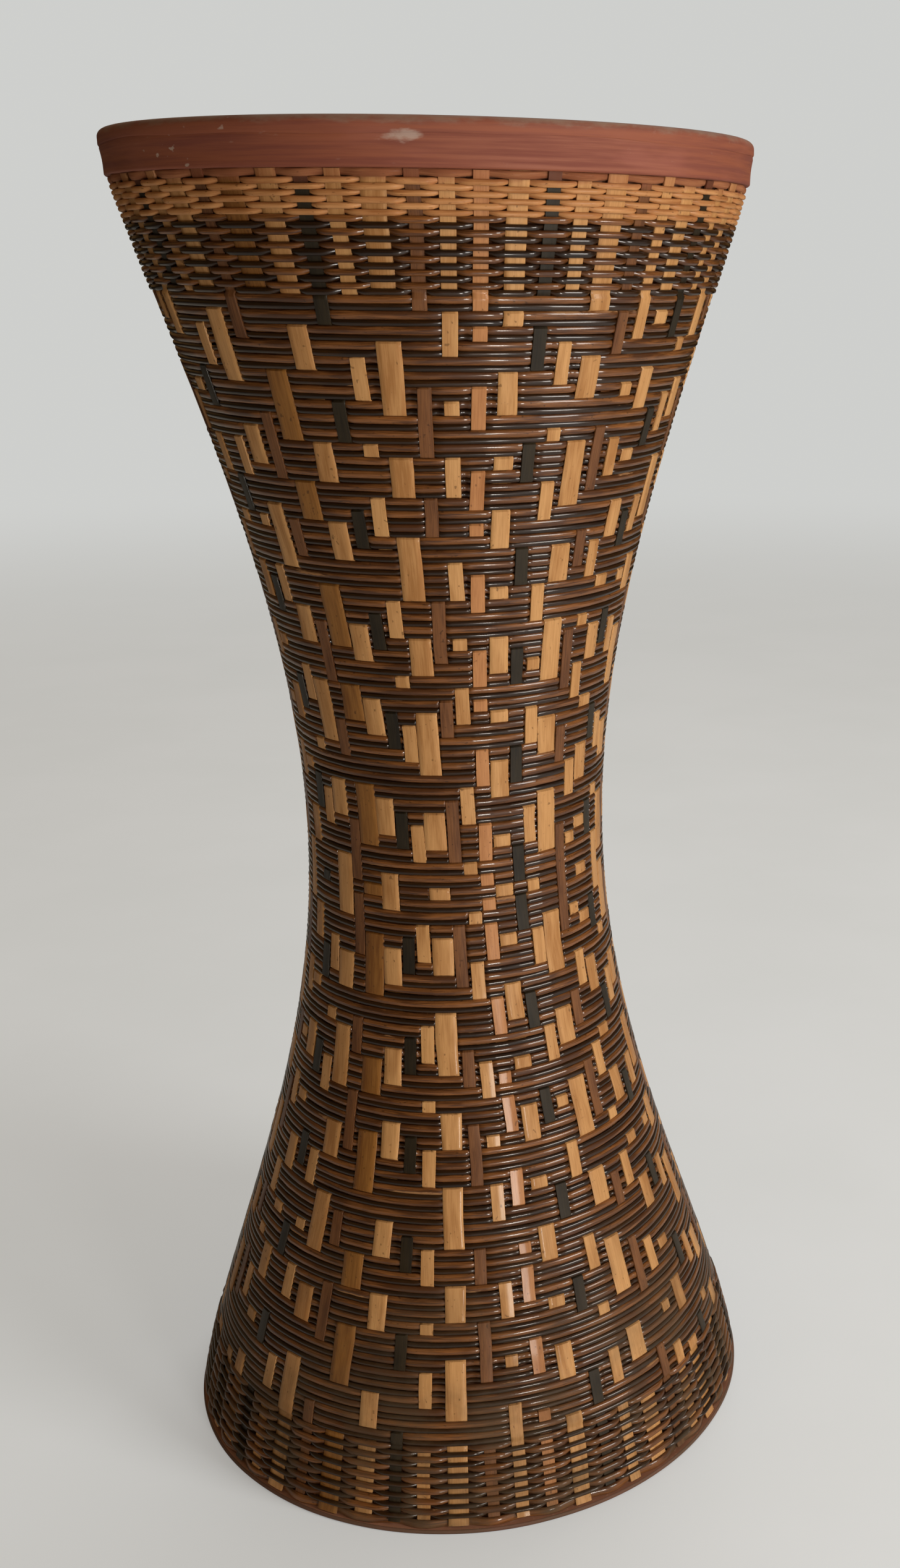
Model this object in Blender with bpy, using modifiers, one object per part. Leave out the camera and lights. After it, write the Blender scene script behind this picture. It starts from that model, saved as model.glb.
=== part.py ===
"""Hourglass hand drum: a fired clay shell with a glued hide head, inside a woven cane jacket.

Metres, +Z up. The origin is at the middle of the foot ring, on the surface that the drum stands on.
The jacket's outer face sets the shape. The weaver bands, the stakes under them and the clay wall
are all turned from that one outline, each set in from it by the thickness of what lies outside it.
"""

import math

import bpy

# Overall shape of the jacket's outer face
TOTAL_HEIGHT = 0.610
FOOT_RADIUS = 0.1402
WAIST_RADIUS = 0.0712
MOUTH_RADIUS = 0.1418
WAIST_HEIGHT = 0.302
FOOT_BELLY = 0.0042  # how far the lower flare swells past a plain hyperbola
MOUTH_BELLY = 0.0015  # and the upper flare

# Clay shell
CLAY_WALL = 0.0075
FOOT_EDGE_HEIGHT = 0.0022  # painted edge that shows under the jacket
COLLAR_HEIGHT = 0.0180  # painted collar that stands above the jacket
COLLAR_PROUD = 0.0008  # how far the collar's lower edge stands out past the jacket
COLLAR_TAPER = 0.0015  # how much wider the lip is than the collar's lower edge
LIP_ROUND = 0.0030

# Drumhead
HIDE_THICKNESS = 0.0013
SKIRT_LENGTH = 0.0062  # how far the hide is turned down over the lip
GLUE_THICKNESS = 0.0005

# Woven jacket
STAKE_COUNT = 60
STAKES_IN_GROUP = 6
STAKE_THICKNESS = 0.0012
WEAVER_THICKNESS = 0.0026
BORDER_HEIGHT = 0.0030
NATURAL_BAND_HEIGHT = 0.0128
UPPER_PLAIN_HEIGHT = 0.0282
UPPER_TWILL_HEIGHT = 0.1794
WAIST_TWILL_HEIGHT = 0.1584
FOOT_PLAIN_HEIGHT = 0.0330
FOOT_BORDER_HEIGHT = 0.0040

FIT_GAP = 0.0003  # between pieces that touch
SEGMENTS = 40  # a multiple of the number of stake groups, so that every layer's corners line up
ROUND_STEPS = 3
FACETS = 20  # straight stretches of the outline, which every layer shares

STAKE_GROUPS = STAKE_COUNT // STAKES_IN_GROUP
COLLAR_BOTTOM = TOTAL_HEIGHT - COLLAR_HEIGHT
JACKET_TOP = COLLAR_BOTTOM - FIT_GAP
JACKET_BOTTOM = FOOT_EDGE_HEIGHT + FIT_GAP
STAKE_DEPTH = WEAVER_THICKNESS + FIT_GAP  # from the jacket's outer face in to the stakes
CLAY_DEPTH = STAKE_DEPTH + STAKE_THICKNESS + FIT_GAP  # and in to the clay
HIDE_SEAT = HIDE_THICKNESS + GLUE_THICKNESS + 2 * FIT_GAP  # from the finished lip in to the clay
SKIRT_BOTTOM = TOTAL_HEIGHT - SKIRT_LENGTH


def smooth_radius(height):
    """Radius of the jacket's outer face: two half hyperbolas that meet at the waist."""
    below = height < WAIST_HEIGHT
    end_radius = FOOT_RADIUS if below else MOUTH_RADIUS
    reach = WAIST_HEIGHT if below else TOTAL_HEIGHT - WAIST_HEIGHT
    share = abs(height - WAIST_HEIGHT) / reach
    radius = math.sqrt(WAIST_RADIUS**2 + (end_radius**2 - WAIST_RADIUS**2) * share**2)
    belly = FOOT_BELLY if below else MOUTH_BELLY
    return radius + belly * math.sin(math.pi * share**3)


def outline_radius(height):
    """The same outline in straight facets, so that nested layers keep their gap at every height."""
    facet = TOTAL_HEIGHT / FACETS
    low = math.floor(height / facet) * facet
    share = (height - low) / facet
    return smooth_radius(low) * (1 - share) + smooth_radius(low + facet) * share


def flare_profile(start, end, depth):
    """Points along the outline from one height to another, set in by a depth, as (radius, height)."""
    facet = TOTAL_HEIGHT / FACETS
    low, high = min(start, end), max(start, end)
    corners = [i * facet for i in range(FACETS + 1)]
    heights = [low] + [h for h in corners if low + FIT_GAP < h < high - FIT_GAP] + [high]
    if start > end:
        heights.reverse()
    return [(outline_radius(height) - depth, height) for height in heights]


def rounded_corner(radius, height, bend, start_degrees, end_degrees):
    """Points on an arc of radius bend about (radius, height), from one direction to another."""
    points = []
    for i in range(ROUND_STEPS + 1):
        angle = math.radians(start_degrees + (end_degrees - start_degrees) * i / ROUND_STEPS)
        points.append((radius + bend * math.cos(angle), height + bend * math.sin(angle)))
    return points


def new_collection(name):
    collection = bpy.data.collections.new(name)
    bpy.context.scene.collection.children.link(collection)
    return collection


def make_material(name, colour, roughness):
    material = bpy.data.materials.new(name)
    material.use_nodes = True
    shader = material.node_tree.nodes["Principled BSDF"]
    shader.inputs["Base Color"].default_value = (*colour, 1.0)
    shader.inputs["Roughness"].default_value = roughness
    shader.inputs["Metallic"].default_value = 0.0
    material.diffuse_color = (*colour, 1.0)
    return material


def profile_object(name, points, closed, material, collection):
    """A mesh of edges through (radius, height) points at +X, to be turned by a Screw modifier."""
    mesh = bpy.data.meshes.new(name)
    edges = [(i, i + 1) for i in range(len(points) - 1)]
    if closed:
        edges.append((len(points) - 1, 0))
    mesh.from_pydata([(radius, 0.0, height) for radius, height in points], edges, [])
    mesh.materials.append(material)
    piece = bpy.data.objects.new(name, mesh)
    collection.objects.link(piece)
    return piece


def turn(piece, degrees, steps):
    """Turns the profile about Z, with smooth shading. A part turn starts at the piece's own rotation."""
    screw = piece.modifiers.new("turn", "SCREW")
    screw.axis = "Z"
    screw.angle = math.radians(degrees)
    screw.steps = screw.render_steps = steps
    screw.use_smooth_shade = True
    if degrees == 360:
        screw.use_merge_vertices = True
        screw.merge_threshold = 0.00001
    return screw


def turned_ring(name, points, material, collection):
    """A closed profile, outer side first and top to bottom, turned through a full circle."""
    piece = profile_object(name, points, True, material, collection)
    turn(piece, 360, SEGMENTS)
    return piece


def lip_radius():
    """Outside of the finished lip, measured out from where the jacket meets the collar."""
    return outline_radius(COLLAR_BOTTOM) + COLLAR_PROUD + COLLAR_TAPER


def make_clay_shell(material, collection):
    """Both ends are open. The collar and the foot edge stand out past the wall and frame the jacket.

    The hide's skirt lies in a shallow rebate, so that its lower edge is nearly flush with the collar.
    """
    seat = lip_radius() - HIDE_SEAT
    clay_top = TOTAL_HEIGHT - HIDE_THICKNESS - FIT_GAP
    bend = LIP_ROUND - HIDE_THICKNESS
    mouth = seat - CLAY_WALL - 2 * bend
    points = rounded_corner(seat - bend, clay_top - bend, bend, 90, 0)
    points.append((seat, SKIRT_BOTTOM - FIT_GAP))
    points.append((lip_radius() - FIT_GAP, SKIRT_BOTTOM - FIT_GAP))
    points.append((lip_radius() - COLLAR_TAPER, COLLAR_BOTTOM))
    points += flare_profile(COLLAR_BOTTOM, FOOT_EDGE_HEIGHT, CLAY_DEPTH)
    points.append((FOOT_RADIUS, FOOT_EDGE_HEIGHT))
    points.append((FOOT_RADIUS, 0.0))
    points += flare_profile(0.0, COLLAR_BOTTOM - CLAY_WALL, CLAY_DEPTH + CLAY_WALL)
    points += rounded_corner(mouth + bend, clay_top - bend, bend, 180, 90)
    return turned_ring("clay_shell", points, material, collection)


def make_drumhead(material, collection):
    """A hide disc over the mouth, turned down over the lip: the profile starts and ends on the axis."""
    outer = lip_radius()
    inner = outer - HIDE_THICKNESS
    bend_height = TOTAL_HEIGHT - LIP_ROUND
    inner_bend = LIP_ROUND - HIDE_THICKNESS
    points = [(0.0, TOTAL_HEIGHT), (outer / 2, TOTAL_HEIGHT)]
    points += rounded_corner(outer - LIP_ROUND, bend_height, LIP_ROUND, 90, 0)
    points += [(outer, SKIRT_BOTTOM), (inner, SKIRT_BOTTOM)]
    points += rounded_corner(outer - LIP_ROUND, bend_height, inner_bend, 0, 90)
    points += [(outer / 2, TOTAL_HEIGHT - HIDE_THICKNESS), (0.0, TOTAL_HEIGHT - HIDE_THICKNESS)]
    piece = profile_object("drumhead", points, False, material, collection)
    turn(piece, 360, SEGMENTS)
    return piece


def make_glue_bed(material, collection):
    """The thin ring of hide glue between the turned-down hide and the clay collar."""
    outer = lip_radius() - HIDE_THICKNESS - FIT_GAP
    inner = outer - GLUE_THICKNESS
    high = TOTAL_HEIGHT - LIP_ROUND
    points = [(outer, high), (outer, SKIRT_BOTTOM), (inner, SKIRT_BOTTOM), (inner, high)]
    return turned_ring("hide_glue_bed", points, material, collection)


def make_stake_groups(material, collection):
    """Curved panels, each standing for a group of flat cane stakes that lie side by side."""
    sweep = 360 / STAKE_GROUPS
    side_gap = math.degrees(FIT_GAP / (WAIST_RADIUS - CLAY_DEPTH))
    # Their inner face leans past each end of the flare, so the ends stop short by half a thickness.
    end_gap = STAKE_THICKNESS / 2
    points = flare_profile(JACKET_TOP - end_gap, JACKET_BOTTOM + end_gap, STAKE_DEPTH)
    for i in range(STAKE_GROUPS):
        piece = profile_object(f"stake_group_{i + 1}", points, False, material, collection)
        turn(piece, sweep - side_gap, SEGMENTS // STAKE_GROUPS)
        piece.rotation_euler.z = math.radians(sweep * i + side_gap / 2)
        thicken = piece.modifiers.new("thickness", "SOLIDIFY")
        thicken.thickness = STAKE_THICKNESS
        thicken.offset = -1.0


def make_band(name, high, low, material, collection):
    """One belt of weavers around the stakes, between two heights."""
    outer = flare_profile(high, low, 0.0)
    inner = flare_profile(low, high, WEAVER_THICKNESS)
    return turned_ring(name, outer + inner, material, collection)


def make_jacket_bands(materials, collection):
    """The belts from top to bottom, with a gap between neighbours. The lower twill takes what is left."""
    upper = [
        ("border_top", BORDER_HEIGHT, "border_cane"),
        ("weave_natural", NATURAL_BAND_HEIGHT, "natural_cane"),
        ("weave_upper_plain", UPPER_PLAIN_HEIGHT, "dark_cane"),
        ("weave_upper_twill", UPPER_TWILL_HEIGHT, "dark_cane"),
        ("weave_waist_twill", WAIST_TWILL_HEIGHT, "dark_cane"),
    ]
    lower = [
        ("border_foot", FOOT_BORDER_HEIGHT, "border_cane"),
        ("weave_foot_plain", FOOT_PLAIN_HEIGHT, "dark_cane"),
    ]
    high = JACKET_TOP
    for name, height, slot in upper:
        make_band(name, high, high - height, materials[slot], collection)
        high -= height + FIT_GAP
    low = JACKET_BOTTOM
    for name, height, slot in lower:
        make_band(name, low + height, low, materials[slot], collection)
        low += height + FIT_GAP
    make_band("weave_lower_twill", high, low, materials["dark_cane"], collection)


def main():
    for item in list(bpy.data.objects):
        bpy.data.objects.remove(item)
    drum = new_collection("djembe")
    materials = {
        "painted_clay": make_material("painted_clay", (0.235, 0.062, 0.045), 0.75),
        "hide": make_material("hide", (0.62, 0.50, 0.34), 0.60),
        "hide_glue": make_material("hide_glue", (0.45, 0.27, 0.10), 0.35),
        "stake_cane": make_material("stake_cane", (0.52, 0.31, 0.13), 0.45),
        "natural_cane": make_material("natural_cane", (0.50, 0.29, 0.11), 0.42),
        "dark_cane": make_material("dark_cane", (0.075, 0.035, 0.018), 0.35),
        "border_cane": make_material("border_cane", (0.33, 0.15, 0.07), 0.50),
    }
    make_clay_shell(materials["painted_clay"], drum)
    make_drumhead(materials["hide"], drum)
    make_glue_bed(materials["hide_glue"], drum)
    make_stake_groups(materials["stake_cane"], drum)
    make_jacket_bands(materials, drum)


main()
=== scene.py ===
# %% [markdown]
# # A waisted hand drum in a woven cane jacket
#
# The drum has a turned clay shell, a glued hide head and a jacket of split cane. The frame gives every
# size: it is loaded first, the outline of the jacket is measured from it, and every piece is laid on
# that outline. Nothing in the frame is moved.

import math

import bpy
import numpy as np
from mathutils import Matrix, Vector


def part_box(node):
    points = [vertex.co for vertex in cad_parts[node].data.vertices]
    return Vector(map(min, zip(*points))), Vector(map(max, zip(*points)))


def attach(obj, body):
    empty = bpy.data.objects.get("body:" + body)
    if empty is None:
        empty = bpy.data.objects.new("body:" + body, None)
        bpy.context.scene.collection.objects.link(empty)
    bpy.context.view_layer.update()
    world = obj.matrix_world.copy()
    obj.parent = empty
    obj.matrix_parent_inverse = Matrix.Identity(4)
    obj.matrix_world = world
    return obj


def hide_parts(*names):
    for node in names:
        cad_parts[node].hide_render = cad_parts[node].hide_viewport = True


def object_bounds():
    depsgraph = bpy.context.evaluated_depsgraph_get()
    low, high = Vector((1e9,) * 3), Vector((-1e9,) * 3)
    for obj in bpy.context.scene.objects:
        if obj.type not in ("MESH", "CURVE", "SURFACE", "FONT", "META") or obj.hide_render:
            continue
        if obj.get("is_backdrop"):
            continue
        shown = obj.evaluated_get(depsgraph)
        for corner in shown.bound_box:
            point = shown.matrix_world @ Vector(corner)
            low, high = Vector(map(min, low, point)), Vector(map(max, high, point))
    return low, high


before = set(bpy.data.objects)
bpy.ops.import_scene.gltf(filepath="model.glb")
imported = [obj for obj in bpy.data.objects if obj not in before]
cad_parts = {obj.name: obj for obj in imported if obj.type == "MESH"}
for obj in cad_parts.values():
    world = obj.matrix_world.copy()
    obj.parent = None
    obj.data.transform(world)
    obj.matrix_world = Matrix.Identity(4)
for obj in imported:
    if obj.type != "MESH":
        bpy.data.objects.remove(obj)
cad_low, cad_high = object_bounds()
HEIGHT = cad_high.z - cad_low.z
print(f"frame: {len(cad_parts)} nodes, {HEIGHT * 1000:.0f} mm high")

# %% [markdown]
# ## The outline that everything is laid on
#
# The real jacket follows the clay shell, which was turned by hand. In the frame the jacket is a stack of
# belts with straight facets. Their outer corners lie on the true curve, so a polynomial through the
# squared radii gives a smooth outline. Squared radii are used because a waisted flare is close to a
# hyperbola, whose squared radius is a simple parabola.

# %% Measure the outline
MM = 0.001
BELTS = ["border_top", "weave_natural", "weave_upper_plain", "weave_upper_twill",
         "weave_waist_twill", "weave_lower_twill", "weave_foot_plain", "border_foot"]


def widest_at_each_height(names):
    """Heights of the corners of some nodes, and the largest radius at each."""
    widest = {}
    for name in names:
        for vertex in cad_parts[name].data.vertices:
            height = round(vertex.co.z, 5)
            radius = math.hypot(vertex.co.x, vertex.co.y)
            widest[height] = max(widest.get(height, 0.0), radius)
    heights = np.array(sorted(widest))
    return heights, np.array([widest[height] for height in heights])


belt_heights, belt_radii = widest_at_each_height(BELTS)
outline_curve = np.polynomial.Polynomial.fit(belt_heights, belt_radii**2, 7)
TABLE_STEPS = 1600
table_heights = np.linspace(HEIGHT, 0.0, TABLE_STEPS)
table_radii = np.sqrt(outline_curve(table_heights))
table_lengths = np.concatenate([[0.0], np.cumsum(np.hypot(np.diff(table_radii), np.diff(table_heights)))])
slope_radius = np.gradient(table_radii, table_lengths)
slope_height = np.gradient(table_heights, table_lengths)


def length_at(height):
    """Distance down the outline, from the top of the drum, to a height."""
    return float(np.interp(HEIGHT - height, HEIGHT - table_heights, table_lengths))


def radius_at(lengths):
    return np.interp(lengths, table_lengths, table_radii)


def place(degrees, lengths, out):
    """Points at an angle round the drum, a distance down the outline and a distance out from it.

    The angle is 0 at the front and grows to the right of someone who faces the drum.
    """
    degrees, lengths, out = np.broadcast_arrays(degrees, lengths, out)
    normal_radius = -np.interp(lengths, table_lengths, slope_height)
    normal_height = np.interp(lengths, table_lengths, slope_radius)
    radius = radius_at(lengths) + normal_radius * out
    height = np.interp(lengths, table_lengths, table_heights) + normal_height * out
    angle = np.radians(degrees)
    return np.stack([radius * np.sin(angle), -radius * np.cos(angle), height], axis=-1)


waist_radius = float(table_radii.min())
print(f"outline {table_lengths[-1] * 1000:.0f} mm long, waist radius {waist_radius * 1000:.1f} mm")

# %% [markdown]
# ## Helpers for bodies made of rings
#
# Cane, clay and hide are all swept or turned shapes. One helper joins rings of points into closed bodies
# and stores three numbers at each point: how far along the cane it is, how far across, and a number that
# differs from cane to cane. The materials read them, so the grain follows each piece of cane.

# %% Ring helpers


def make_piece(name, tubes, materials, nodes, crease=50):
    """One object from closed tubes. A tube is (rings, grain, material index), rings by points by xyz."""
    corners, grain, faces, finish = [], [], [], []
    start = 0
    for rings, fibre, index in tubes:
        steps, around = rings.shape[:2]
        number = start + np.arange(steps * around).reshape(steps, around)
        beside = np.roll(number, -1, axis=1)
        walls = np.stack([number[:-1], number[1:], beside[1:], beside[:-1]], axis=-1)
        tube_faces = walls.reshape(-1, 4).tolist()
        tube_faces += [number[0].tolist(), number[-1, ::-1].tolist()]
        faces += tube_faces
        finish += [index] * len(tube_faces)
        corners.append(rings.reshape(-1, 3))
        grain.append(fibre.reshape(-1, 3))
        start += steps * around
    mesh = bpy.data.meshes.new(name)
    mesh.from_pydata(np.concatenate(corners).tolist(), [], faces)
    stored = mesh.attributes.new("cane", "FLOAT_VECTOR", "POINT")
    stored.data.foreach_set("vector", np.concatenate(grain).astype(np.float32).ravel())
    for material in materials:
        mesh.materials.append(material)
    mesh.polygons.foreach_set("material_index", finish)
    mesh.shade_smooth()
    mesh.set_sharp_from_angle(angle=math.radians(crease))
    piece = bpy.data.objects.new(name, mesh)
    bpy.context.scene.collection.objects.link(piece)
    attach(piece, "root")
    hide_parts(*nodes)
    print(f"{name}: {len(faces)} faces")
    return piece


def smooth_noise(rng, count, spacing, size):
    """Slowly wandering numbers: random knots every few steps, with straight lines between them."""
    knots = rng.normal(0.0, size, max(2, count // spacing + 2))
    return np.interp(np.arange(count) / spacing, np.arange(len(knots)), knots)


# %% [markdown]
# ## Shader groups
#
# Five effects are shared by several materials: fibre, skin wear, dust and painted shade, paint smear and
# brushed paint. Each is a node group with named sockets, built once, and each material gives it its own
# values.
# Short helpers come first, as the same few nodes are added many times.

# %% Node helpers


class Graph:
    """Short calls for adding nodes to a material or a group."""

    def __init__(self, tree):
        self.tree = tree

    def add(self, kind, **settings):
        node = self.tree.nodes.new(kind)
        for key, value in settings.items():
            setattr(node, key, value)
        return node

    def join(self, source, target):
        self.tree.links.new(source, target)

    def feed(self, socket, value):
        """Links a socket to a socket, or sets it to a number or a colour."""
        if isinstance(value, bpy.types.NodeSocket):
            self.join(value, socket)
        else:
            socket.default_value = value

    def math(self, operation, a, b=0.0, c=0.0, clamp=False):
        node = self.add("ShaderNodeMath", operation=operation, use_clamp=clamp)
        for socket, value in zip(node.inputs, (a, b, c)):
            self.feed(socket, value)
        return node.outputs[0]

    def ramp(self, value, low, high, to_low=0.0, to_high=1.0):
        """A smooth step from one number to another as value goes from low to high."""
        node = self.add("ShaderNodeMapRange", interpolation_type="SMOOTHSTEP")
        for socket, item in zip(node.inputs, (value, low, high, to_low, to_high)):
            self.feed(socket, item)
        return node.outputs[0]

    def mix(self, share, first, second):
        """A colour between two others."""
        node = self.add("ShaderNodeMix", data_type="RGBA")
        self.feed(node.inputs[0], share)
        self.feed(node.inputs[6], first)
        self.feed(node.inputs[7], second)
        return node.outputs[2]

    def noise(self, vector, scale, detail=3.0, roughness=0.55):
        node = self.add("ShaderNodeTexNoise")
        self.feed(node.inputs["Vector"], vector)
        self.feed(node.inputs["Scale"], scale)
        node.inputs["Detail"].default_value = detail
        node.inputs["Roughness"].default_value = roughness
        return node.outputs[0]

    def stretch(self, vector, scale):
        """A vector with each of its parts multiplied."""
        node = self.add("ShaderNodeVectorMath", operation="MULTIPLY")
        self.feed(node.inputs[0], vector)
        node.inputs[1].default_value = scale
        return node.outputs[0]

    def position(self):
        return self.add("ShaderNodeNewGeometry").outputs["Position"]

    def height(self):
        """Height above the floor."""
        split = self.add("ShaderNodeSeparateXYZ")
        self.join(self.position(), split.inputs[0])
        return split.outputs["Z"]

    def length(self, vector):
        node = self.add("ShaderNodeVectorMath", operation="LENGTH")
        self.join(vector, node.inputs[0])
        return node.outputs["Value"]

    def bump(self, height, strength, distance, shader):
        """Gives a shader a surface that is raised by a number, as far as a distance in metres."""
        node = self.add("ShaderNodeBump")
        node.inputs["Strength"].default_value = strength
        node.inputs["Distance"].default_value = distance
        self.join(height, node.inputs["Height"])
        self.join(node.outputs["Normal"], shader.inputs["Normal"])

    def use(self, group, **values):
        """Places a node group and feeds its inputs by name, with _ for a space."""
        node = self.add("ShaderNodeGroup", node_tree=group)
        for key, value in values.items():
            self.feed(node.inputs[key.replace("_", " ").capitalize()], value)
        return node


def new_group(name, inputs, outputs):
    """A node group with its named sockets, and its input and output nodes."""
    tree = bpy.data.node_groups.new(name, "ShaderNodeTree")
    kinds = {"colour": "NodeSocketColor", "number": "NodeSocketFloat", "vector": "NodeSocketVector"}
    for direction, sockets in (("INPUT", inputs), ("OUTPUT", outputs)):
        for label, kind in sockets:
            tree.interface.new_socket(label, in_out=direction, socket_type=kinds[kind])
    graph = Graph(tree)
    return graph, graph.add("NodeGroupInput").outputs, graph.add("NodeGroupOutput").inputs


def new_material(name):
    """A material, its graph and its shader."""
    material = bpy.data.materials.new(name)
    material.use_nodes = True
    return material, Graph(material.node_tree), material.node_tree.nodes["Principled BSDF"]


# %% [markdown]
# ### Fibre
#
# Split cane is a bundle of fibres, so its colour runs in streaks along it. Each cane also has darker
# blotches, a tone of its own and a few dark specks. Noise that is stretched along the cane gives all four.

# %% The fibre group
SPECK = (0.02, 0.01, 0.005, 1.0)
graph, given, result = new_group(
    "fibre",
    [("Cane", "vector"), ("Light", "colour"), ("Dark", "colour"), ("Streaks", "number"),
     ("Blotches", "number")],
    [("Colour", "colour"), ("Height", "number"), ("Unevenness", "number")],
)
streak = graph.noise(graph.stretch(given["Cane"], (90.0, 4.5, 57.0)), 1.0, 4.0, 0.6)
blotch = graph.noise(graph.stretch(given["Cane"], (28.0, 0.5, 31.0)), 1.0, 2.0)
cane_tone = graph.noise(graph.stretch(given["Cane"], (3.0, 0.0, 77.0)), 1.0, 1.0)
streak_share = graph.math("MULTIPLY", graph.ramp(streak, 0.35, 0.68), given["Streaks"])
blotch_share = graph.math("MULTIPLY", graph.ramp(blotch, 0.42, 0.70), given["Blotches"])
tone_share = graph.ramp(cane_tone, 0.35, 0.75, 0.0, 0.45)
dark_share = graph.math("ADD", graph.math("ADD", streak_share, blotch_share), tone_share, clamp=True)
speck = graph.noise(graph.stretch(given["Cane"], (420.0, 1.5, 83.0)), 1.0, 1.0)
speck_share = graph.math("MULTIPLY", graph.ramp(speck, 0.68, 0.76), 0.75)
colour = graph.mix(dark_share, given["Light"], given["Dark"])
graph.join(graph.mix(speck_share, colour, graph.mix(0.5, given["Dark"], SPECK)), result["Colour"])
graph.join(streak, result["Height"])
graph.join(blotch, result["Unevenness"])
fibre = graph.tree

# %% [markdown]
# ### Skin wear
#
# Cane has a hard skin. Where a drum is rubbed the skin breaks away in long torn patches, and the paler
# inside shows. A slow noise says where the patches are, and a quick one tears their edges.

# %% The skin wear group
graph, given, result = new_group(
    "skin wear",
    [("Cane", "vector"), ("Colour", "colour"), ("Bare", "colour"), ("Amount", "number")],
    [("Colour", "colour"), ("Mask", "number")],
)
patch = graph.noise(graph.stretch(given["Cane"], (16.0, 0.35, 91.0)), 1.0, 2.0, 0.4)
torn = graph.noise(graph.stretch(given["Cane"], (260.0, 3.5, 13.0)), 1.0, 3.0, 0.6)
reach = graph.math("ADD", patch, graph.math("MULTIPLY", torn, 0.16))
edge = graph.math("SUBTRACT", 0.98, given["Amount"])
worn = graph.ramp(graph.math("SUBTRACT", reach, edge), -0.01, 0.03)
graph.join(graph.mix(worn, given["Colour"], given["Bare"]), result["Colour"])
graph.join(worn, result["Mask"])
skin_wear = graph.tree

# %% [markdown]
# ### Dust and painted shade
#
# The lower end gets darker and duller, in clouds: partly dust and splashes from the floor, and partly
# painted shade where the light falls off towards the floor.

# %% The dust and painted shade group
graph, given, result = new_group(
    "dust and painted shade",
    [("Colour", "colour"), ("Dust", "colour"), ("Amount", "number"), ("Reach", "number")],
    [("Colour", "colour"), ("Mask", "number")],
)
# painted shade and dust: the colour darkens towards the floor, in clouds
low = graph.ramp(graph.height(), 0.0, given["Reach"], 1.0, 0.0)
cloud = graph.noise(graph.position(), 38.0, 4.0, 0.6)
dusty_and_shaded = graph.math("MULTIPLY", graph.ramp(cloud, 0.34, 0.66), graph.math("MULTIPLY", low, given["Amount"]))
graph.join(graph.mix(dusty_and_shaded, given["Colour"], given["Dust"]), result["Colour"])
graph.join(dusty_and_shaded, result["Mask"])
dust_and_painted_shade = graph.tree

# %% [markdown]
# ### Paint smear
#
# The collar was painted with the jacket in place, so the brush ran over onto the first canes. The smear is
# strongest at the collar's line and breaks up further down.

# %% The paint smear group
graph, given, result = new_group(
    "paint smear",
    [("Colour", "colour"), ("Paint", "colour"), ("Line", "number"), ("Reach", "number"),
     ("Amount", "number")],
    [("Colour", "colour"), ("Mask", "number")],
)
rag = graph.noise(graph.stretch(graph.position(), (1.0, 1.0, 2.0)), 130.0, 3.0, 0.6)
below = graph.math("SUBTRACT", given["Line"], graph.height())
closeness = graph.ramp(graph.math("DIVIDE", below, given["Reach"]), 0.0, 1.0, 1.0, 0.0)
share = graph.ramp(graph.math("ADD", closeness, rag), 0.92, 1.28)
share = graph.math("MULTIPLY", share, given["Amount"])
graph.join(graph.mix(share, given["Colour"], given["Paint"]), result["Colour"])
graph.join(share, result["Mask"])
paint_smear = graph.tree

# %% [markdown]
# ### Brushed paint
#
# The collar, the foot ring and the edge of the hide share one coat of matt red earth paint. The brush went
# round the drum, so its streaks are long round it and short up it. The coat has faded clouds, small chips,
# one rubbed spot, a paler band along the lip that is partly dust and partly a painted highlight, and it gets
# darker towards the foot.

# %% The brushed paint group
graph, given, result = new_group(
    "brushed paint",
    [("Paint", "colour"), ("Streak", "colour"), ("Faded", "colour"), ("Scuff", "colour"),
     ("Scuff middle", "vector"), ("Lip dust and highlight", "colour"), ("Lip height", "number"), ("Darkening", "colour")],
    [("Colour", "colour"), ("Height", "number")],
)
position = graph.position()
height = graph.height()
brushed = graph.noise(graph.stretch(position, (14.0, 14.0, 420.0)), 1.0, 4.0, 0.6)
clouds = graph.noise(graph.stretch(position, (22.0, 22.0, 70.0)), 1.0, 3.0, 0.55)
colour = graph.mix(graph.ramp(brushed, 0.36, 0.68, 0.0, 0.65), given["Paint"], given["Streak"])
colour = graph.mix(graph.ramp(clouds, 0.50, 0.75, 0.0, 0.45), colour, given["Faded"])
chips = graph.noise(graph.stretch(position, (1.0, 1.0, 1.6)), 210.0, 2.0, 0.5)
rubbed = graph.noise(graph.stretch(position, (1.0, 1.0, 2.5)), 9.0, 1.0, 0.5)
chipped = graph.math("MULTIPLY", graph.ramp(chips, 0.66, 0.72), graph.ramp(rubbed, 0.50, 0.62))
colour = graph.mix(graph.math("MULTIPLY", chipped, 0.8), colour, given["Scuff"])
rough_edge = graph.noise(graph.stretch(position, (1.0, 1.0, 3.0)), 75.0, 4.0, 0.65)
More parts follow.
